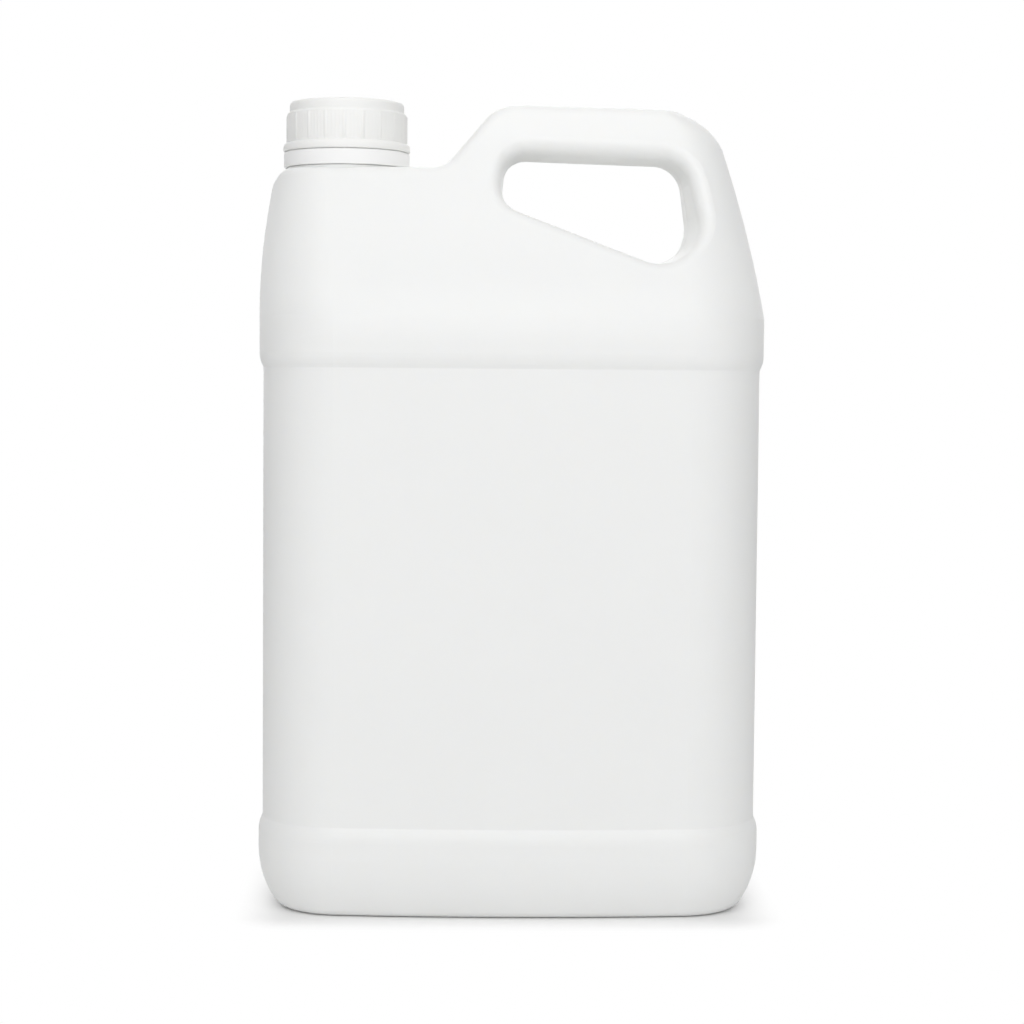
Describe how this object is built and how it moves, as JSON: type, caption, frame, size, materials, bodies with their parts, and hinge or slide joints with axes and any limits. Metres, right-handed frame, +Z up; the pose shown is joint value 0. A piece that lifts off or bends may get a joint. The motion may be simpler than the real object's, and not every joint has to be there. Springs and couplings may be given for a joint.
{
  "type": "liquid fertilizer jug",
  "caption": "White plastic jug with a hollow handle through one shoulder and a ribbed tamper-evident screw cap on the other",
  "frame": {"origin": "middle of the base, on the floor the jug stands on", "axes": "+Z up, +X towards the back of the handle and away from the cap, -Y towards the viewer, one of the two broad panels"},
  "size_m": [0.1903, 0.118, 0.3053],
  "materials": {
    "jug": "natural satin of blow-moulded polyethylene",
    "cap": "satin, injection moulded",
    "liner": "smooth foamed polyethylene"
  },
  "bodies": {
    "jug": {"jug_body": "jug", "tamper_ring": "cap"},
    "liner": {"cap_liner": "liner"},
    "cap": {"screw_cap": "cap"}
  },
  "joints": [
    {"name": "cap_rise", "type": "slide", "parent": "jug", "child": "liner", "axis": [0, 0, 1], "range_m": [0, 0.0225]},
    {"name": "cap_turn", "type": "hinge", "parent": "liner", "child": "cap", "pos_m": [-0.0638, 0, 0.291], "axis": [0, 0, 1], "range_deg": [0, 1799]}
  ],
  "couplings": [
    {"joint": "cap_rise", "follows": "cap_turn", "m_per_rad": 0.0007162}
  ]
}
